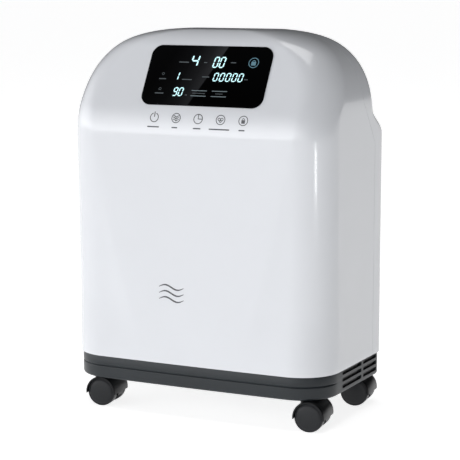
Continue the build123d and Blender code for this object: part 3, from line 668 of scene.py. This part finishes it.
def lit_content():
    """Digits, plain bars and small symbols on the face of the window."""
    shapes = []
    for v, height, width, stroke, digits in ROWS:
        for x, text in digits:
            shapes += segment_shapes(text, x, v, height, width, stroke)

    def place(x, v):
        return panel_point(WINDOW_X + x, WINDOW_V + v, LENS_LIFT + INK)

    verts, faces = flat_faces(shapes, [], place)
    digits = new_object("display_digits_lit", verts, faces, "digit_cyan")
    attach(digits, "body")
    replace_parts(digits, "display_digits")
    rings = [ring_shape(x, v, 1.9, 0.7) for x, v in DROPS]
    verts, faces = flat_faces([bar(*spot) for spot in CAPTIONS], rings, place)
    legends = new_object("display_legends", verts, faces, "symbol_dim")
    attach(legends, "body")
    verts, faces = flat_faces([bar(*spot) for spot in RULES], [], place)
    rules = new_object("display_rules", verts, faces, "rule_grey")
    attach(rules, "body")
    rings = [ring_shape(LOCK_X, LOCK_V, 7.2, 1.0),
             ring_shape(LOCK_X, LOCK_V + 1.4, 2.3, 0.9, 0, 180)]
    body = rounded_rect(LOCK_X, LOCK_V - 1.2, 6.6, 5.2, 0.8, 3)
    verts, faces = flat_faces([body], rings, place)
    lock = new_object("display_lock_symbol", verts, faces, "lock_teal")
    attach(lock, "body")


MATERIALS["symbol_dim"] = material("symbol_dim", (0.045, 0.055, 0.060), rough=0.5, glow=0.35)
MATERIALS["rule_grey"] = material("rule_grey", (0.10, 0.13, 0.14), rough=0.5, glow=0.35)
MATERIALS["lock_teal"] = material("lock_teal", (0.07, 0.15, 0.19), rough=0.5, glow=0.5)
display_window()
lit_content()


# ---------------------------------------------------------------- touch symbols and mark

ICON_LOW, ICON_HIGH = size_of("touch_icons")
ICON_R = 6.6
ICON_STEP = (ICON_HIGH[0] - ICON_LOW[0] - 2 * ICON_R) / 4
ICON_X0 = ICON_LOW[0] + ICON_R
ICON_Z = (ICON_LOW[2] + ICON_HIGH[2]) / 2
LINE = 1.05
ICON_TILT = math.radians(18)
LEGEND_DROP = 12.6
LEGEND_H = 1.7
LEGENDS = ((-0.5, 17.5), (-1.0, 8.5), (-0.6, 11.0), (-0.8, 29.0), (-1.0, 8.5))


def on_front(x, z, lift=0.0):
    """Point on the front surface at that width and height, lifted along its normal."""
    w = half_width(z)
    y = front_y(z) + BOW * (w / HALF_W) ** 2 * (x / w) ** 2
    tilt = math.atan(front_y(z + 0.5) - front_y(z - 0.5))
    return (x, y - lift * math.cos(tilt), z + lift * math.sin(tilt))


def symbol(name, index, shapes, rings):
    """One printed symbol, or its legend bar, at its place in the row."""
    cx = ICON_X0 + ICON_STEP * index
    slope = math.cos(ICON_TILT)

    def place(x, v):
        return on_front(cx + x, ICON_Z + v * slope, INK)

    verts, faces = flat_faces(shapes, rings, place)
    return new_object(name, verts, faces, "symbol_grey", PRINT_ANGLE)


def wave(x0, x1, v, height, line, turns=1.0, steps=24):
    """Edges of a sine ribbon, usable as a ring strip."""
    outer = []
    inner = []
    for i in range(steps + 1):
        t = i / steps
        x = x0 + (x1 - x0) * t
        y = v + height * math.sin(math.tau * turns * t)
        thick = line * (0.35 + 0.65 * math.sin(math.pi * t))
        outer.append((x, y + thick / 2))
        inner.append((x, y - thick / 2))
    return outer, inner


def touch_symbols():
    circle = ring_shape(0, 0, ICON_R, LINE)
    waves = [wave(-4.6, 4.6, v, 0.9, 1.5, 1.4) for v in (-2.6, -0.2, 2.2)]
    lobes = [ring_shape(-1.9, 0.6, 2.1, 0.9), ring_shape(1.9, 0.6, 2.1, 0.9),
             ring_shape(0, -1.9, 1.7, 0.9)]
    pieces = [
        symbol("symbol_power", 0, [rounded_rect(0, 3.9, 1.3, 7.2, 0.6, 3)],
               [ring_shape(0, -0.3, 6.4, 1.2, 112, 428)]),
        symbol("symbol_flow", 1, [], [circle] + waves),
        symbol("symbol_timer", 2, [rounded_rect(0, 3.0, LINE, 6.4, 0.4, 3),
                                   rounded_rect(2.9, 0, 6.2, LINE, 0.4, 3)], [circle]),
        symbol("symbol_ions", 3, [], [circle] + lobes),
        symbol("symbol_lock", 4, [rounded_rect(0, -1.3, 5.0, 4.6, 0.5, 3)],
               [circle, ring_shape(0, 1.2, 2.1, 0.9, 0, 180)]),
    ]
    pieces += [symbol("legend_%d" % i, i, [rounded_rect(x, -LEGEND_DROP, w, LEGEND_H, 0.8, 3)],
                      [])
               for i, (x, w) in enumerate(LEGENDS)]
    symbols = joined("touch_symbols", pieces)
    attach(symbols, "body")
    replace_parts(symbols, "touch_icons")


MARK_X0 = -44
MARK_X1 = -8
MARK_Z = 173
MARK_STEP = 8


def front_mark():
    """Three level wave lines low on the front, with no lettering."""
    rings = [wave(MARK_X0, MARK_X1, MARK_Z - MARK_STEP * i, 3.0, 2.4, 1.0, 40) for i in range(3)]
    verts, faces = flat_faces([], rings, lambda x, z: on_front(x, z, INK))
    mark = new_object("air_wave_mark", verts, faces, "symbol_grey", PRINT_ANGLE)
    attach(mark, "body")


touch_symbols()
front_mark()


# ---------------------------------------------------------------- base tray

TRAY_LOW, TRAY_HIGH = size_of("base_tray")
TRAY_INSET = HALF_W - TRAY_HIGH[0]
TRAY_BOTTOM = TRAY_LOW[2]
TRAY_TOP = TRAY_HIGH[2]
GROOVE_Z = 57.9
SLOT_ROWS = [49.0, 57.8, 66.6]
SLOT_H = 5.0
SLOT_COLUMNS = [(-35.0, 29.0), (35.0, 81.0)]
GROOVE_ENDS = (-66.0, -50.0)
GROOVE_DEPTH = 1.15
TRAY_EDGE_R = 3.4
TRAY_WALL = 3.4
TRAY_FLOOR = 3.5


def tray_profile():
    """Height, inset and groove depth of each ring of the tray, from the bottom up."""
    edge = [(TRAY_BOTTOM + TRAY_EDGE_R * (1 - math.cos(a)),
             TRAY_INSET + TRAY_EDGE_R * (1 - math.sin(a)), 0.0)
            for a in [math.pi / 2 * i / 6 for i in range(7)]]
    rings = [(TRAY_BOTTOM, TRAY_INSET + 6.0, 0.0)] + edge
    rings += [(GROOVE_Z + 0.22 * i, TRAY_INSET, GROOVE_DEPTH * math.exp(-(i / 4.2) ** 2))
              for i in range(-11, 12)]
    rings += [(TRAY_TOP - 1.2, TRAY_INSET, 0.0), (TRAY_TOP - 0.4, TRAY_INSET + 0.3, 0.0),
              (TRAY_TOP, TRAY_INSET + 1.2, 0.0), (TRAY_TOP, TRAY_INSET + TRAY_WALL, 0.0),
              (TRAY_BOTTOM + TRAY_FLOOR, TRAY_INSET + TRAY_WALL, 0.0)]
    return rings


def base_tray():
    """Charcoal tray with rounded lower edge, a shallow line, and side louvres."""
    verts = []
    profile = tray_profile()
    start, end = GROOVE_ENDS
    for z, inset, groove in profile:
        plain = body_ring(SHELL_Z0, inset)
        deep = body_ring(SHELL_Z0, inset + groove)
        for (x0, y0), (x1, y1) in zip(plain, deep):
            k = 1 - ease((y0 - start) / (end - start))
            verts.append((x0 + (x1 - x0) * k, y0 + (y1 - y0) * k, z))
    count = len(verts) // len(profile)
    faces = loft_faces(len(profile), count)
    faces.append(tuple(range(count)))
    faces.append(tuple(range((len(profile) - 1) * count, len(profile) * count)))
    tray = new_object("base_tray_moulded", verts, faces, "tray_charcoal", 30)
    for y0, y1 in SLOT_COLUMNS:
        for z in SLOT_ROWS:
            outline = rounded_rect((y0 + y1) / 2, z, y1 - y0, SLOT_H, 1.0, 4)
            cut(tray, prism("louvre", outline, -HALF_W - 5, HALF_W + 5, "x"))
    smooth(tray, 30)
    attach(tray, "body")
    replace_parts(tray, "base_tray")


base_tray()


# ---------------------------------------------------------------- casters

WHEEL_R = 19.0
TRAIL = 9.0
TURN = math.radians(7.0)
STEM_X = 152.0
STEM_Y = 75.0
WEB_R = 20.2
WEB_HALF = 7.6
BOSS_R = 7.4
BOSS_LOW = -7.0
BOSS_TOP = 21.2


def lathe(profile, steps=72):
    """Rings around the Y axis from (y, radius) points."""
    verts = []
    for y, r in profile:
        for i in range(steps):
            a = math.tau * i / steps
            verts.append((r * math.cos(a), y, r * math.sin(a)))
    return verts, loft_faces(len(profile), steps), steps


def wheel_mesh(name, side):
    """Domed wheel with a rounded tread and a fine ring step on its face."""
    profile = [(8.2, 3.1), (8.2, 17.4), (8.5, 18.4), (9.4, 19.0), (18.6, 19.0), (19.8, 18.7),
               (20.5, 18.0), (20.7, 17.4), (20.4, 16.9), (20.6, 16.4), (21.0, 15.9),
               (21.5, 13.1), (21.9, 9.3), (22.2, 4.9), (22.35, 1.6), (22.4, 0.05)]
    verts, faces, steps = lathe([(side * y, r) for y, r in profile])
    faces.append(tuple(range((len(profile) - 1) * steps, len(profile) * steps)))
    return new_object(name, verts, faces, "wheel_black", 40)


def hood_mesh(name):
    """Hood over the wheels: arched cover with rolled side rims, web and stem boss."""
    section = [(-23.0, 18.9), (-23.0, 20.2), (-22.4, 20.8), (-21.2, 21.1), (21.2, 21.1),
               (22.4, 20.8), (23.0, 20.2), (23.0, 18.9), (22.6, 18.9), (22.4, 19.6),
               (-22.4, 19.6), (-22.6, 18.9)]
    steps = 60
    verts = []
    for i in range(steps + 1):
        a = math.radians(-6 + 192 * i / steps)
        verts += [(r * math.cos(a), y, r * math.sin(a)) for y, r in section]
    n = len(section)
    faces = loft_faces(steps + 1, n)
    faces += [tuple(range(n)), tuple(range(steps * n, (steps + 1) * n))]
    cover = new_object(name + "_cover", verts, faces, "caster_black", 40)
    arc = [(WEB_R * math.cos(a), WEB_R * math.sin(a))
           for a in [math.radians(-19 + 218 * i / 40) for i in range(41)]]
    web = prism(name + "_web", arc, -WEB_HALF, WEB_HALF, "y", "caster_black")
    circle = [(-TRAIL + BOSS_R * math.cos(a), BOSS_R * math.sin(a))
              for a in [math.tau * i / 40 for i in range(40)]]
    boss = prism(name + "_boss", circle, BOSS_LOW, BOSS_TOP, "z", "caster_black")
    return joined(name, [cover, web, boss])


def place_caster(obj, x, y):
    """Moves a piece drawn about the axle to its caster, trailing and turned."""
    obj.data.transform(Matrix.Translation(Vector((TRAIL, 0, WHEEL_R)) * MM))
    obj.data.transform(Matrix.Rotation(TURN, 4, "Z"))
    obj.data.transform(Matrix.Translation(Vector((x, y, 0)) * MM))


def casters():
    corners = (("fl", -STEM_X, -STEM_Y), ("fr", STEM_X, -STEM_Y),
               ("rl", -STEM_X, STEM_Y), ("rr", STEM_X, STEM_Y))
    for tag, x, y in corners:
        hood = hood_mesh("hood_" + tag)
        place_caster(hood, x, y)
        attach(hood, "caster_" + tag)
        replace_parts(hood, "caster_hood_" + tag)
        for side, word in ((-1, "near"), (1, "far")):
            wheel = wheel_mesh("wheel_disc_%s_%s" % (tag, word), side)
            place_caster(wheel, x, y)
            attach(wheel, "wheel_%s_%s" % (tag, word))
            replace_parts(wheel, "wheel_%s_%s" % (tag, word))


casters()


# ---------------------------------------------------------------- studio

AZIMUTH = math.radians(26.6)
ELEVATION = math.radians(8.66)
DISTANCE = 2.253
TARGET = Vector((0.0058, 0.0, 0.2358))
TOWARDS = Vector((math.sin(AZIMUTH) * math.cos(ELEVATION),
                  -math.cos(AZIMUTH) * math.cos(ELEVATION), math.sin(ELEVATION)))


def camera():
    data = bpy.data.cameras.new("camera")
    data.sensor_width = 36.0
    data.lens = 132.2
    data.clip_end = 300.0
    cam = bpy.data.objects.new("camera", data)
    bpy.context.scene.collection.objects.link(cam)
    cam.location = TARGET + TOWARDS * DISTANCE
    cam.rotation_euler = (-TOWARDS).to_track_quat("-Z", "Y").to_euler()
    bpy.context.scene.camera = cam


def area_light(name, spot, aim, size, power):
    data = bpy.data.lights.new(name, "AREA")
    data.shape = "RECTANGLE"
    data.size = size[0]
    data.size_y = size[1]
    data.energy = power
    lamp = bpy.data.objects.new(name, data)
    bpy.context.scene.collection.objects.link(lamp)
    lamp.location = spot
    lamp.rotation_euler = (Vector(aim) - Vector(spot)).to_track_quat("-Z", "Y").to_euler()


FLOOR_HALF = 90.0
FLOOR_GLOW = 1.0
SKY_SIDE = (-3.2, -3.8, 0.0)
SKY_FLATTEN = -1.5
SKY_ZENITH = 0.02
SKY_BASE = -0.3


def studio():
    camera()
    floor_mat = material("floor_white", (0.82, 0.82, 0.82), rough=0.8, mottle=0.003, grain=60,
                         bump=0, spec=0.0, glow=FLOOR_GLOW)
    mesh = bpy.data.meshes.new("floor")
    s = FLOOR_HALF
    mesh.from_pydata([(-s, -s, 0), (s, -s, 0), (s, s, 0), (-s, s, 0)], [], [(0, 1, 2, 3)])
    floor = bpy.data.objects.new("floor", mesh)
    bpy.context.scene.collection.objects.link(floor)
    mesh.materials.append(floor_mat)
    sky()
    bpy.context.scene.view_settings.view_transform = "Standard"
    area_light("corner_strip", (0.883, -0.622, 0.204), (0.169, -0.092, 0.34), (0.08, 0.10), 0.35)
    area_light("overhead", (0.0, 0.0, 4.3), (0.0, 0.0, 0.0), (2.0, 2.0), 41.0)


def sky():
    """Studio surround: brightest at the front left near eye level, dark at the right."""
    world = bpy.data.worlds.new("studio")
    world.use_nodes = True
    tree = world.node_tree
    link = tree.links.new
    background = tree.nodes["Background"]
    coords = tree.nodes.new("ShaderNodeTexCoord")
    tilt = tree.nodes.new("ShaderNodeVectorMath")
    tilt.operation = "DOT_PRODUCT"
    tilt.inputs[1].default_value = SKY_SIDE
    split = tree.nodes.new("ShaderNodeSeparateXYZ")
    weight = tree.nodes.new("ShaderNodeMath")
    weight.operation = "MULTIPLY_ADD"
    weight.inputs[1].default_value = SKY_FLATTEN
    weight.inputs[2].default_value = 1.0
    level = tree.nodes.new("ShaderNodeMath")
    level.operation = "MULTIPLY_ADD"
    zenith = tree.nodes.new("ShaderNodeMath")
    zenith.operation = "MULTIPLY_ADD"
    zenith.inputs[1].default_value = SKY_ZENITH
    zenith.inputs[2].default_value = SKY_BASE
    least = tree.nodes.new("ShaderNodeMath")
    least.operation = "MAXIMUM"
    least.inputs[1].default_value = 0.0
    link(coords.outputs["Generated"], tilt.inputs[0])
    link(coords.outputs["Generated"], split.inputs["Vector"])
    link(split.outputs["Z"], weight.inputs[0])
    link(tilt.outputs["Value"], level.inputs[0])
    link(weight.outputs["Value"], level.inputs[1])
    link(split.outputs["Z"], zenith.inputs[0])
    link(zenith.outputs["Value"], level.inputs[2])
    link(level.outputs["Value"], least.inputs[0])
    link(least.outputs["Value"], background.inputs["Strength"])
    background.inputs["Color"].default_value = (0.98, 0.985, 1.0, 1)
    bpy.context.scene.world = world


studio()
